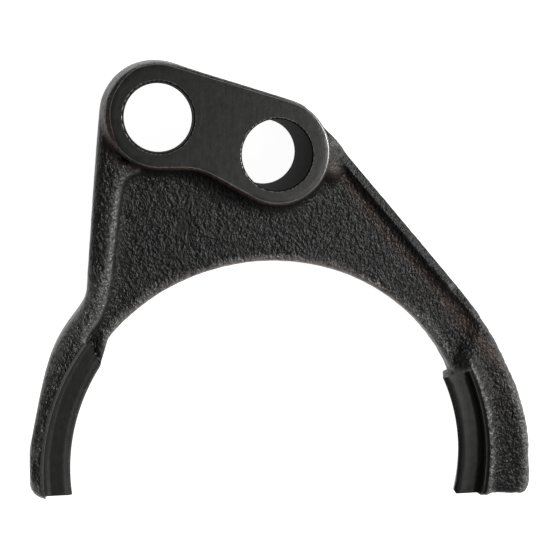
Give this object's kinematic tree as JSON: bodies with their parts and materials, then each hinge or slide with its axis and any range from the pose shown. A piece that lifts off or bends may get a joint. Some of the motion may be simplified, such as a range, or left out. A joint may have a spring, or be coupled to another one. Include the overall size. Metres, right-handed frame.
{
  "type": "shift fork",
  "caption": "Cast gearbox shift fork with two round rail bores in a machined boss and two curved legs ending in groove pads.",
  "frame": {"origin": "on the axis of the main rail bore, at the machined boss face", "axes": "+Z along the rail bore out of the machined boss face, +X from the guide bore towards the main bore, -Y towards the open end of the fork"},
  "size_m": [0.1465, 0.1269, 0.032],
  "materials": {
    "cast_iron": "dark cast skin with machined faces"
  },
  "bodies": {
    "root": {"shift_fork": "cast_iron"}
  },
  "joints": []
}
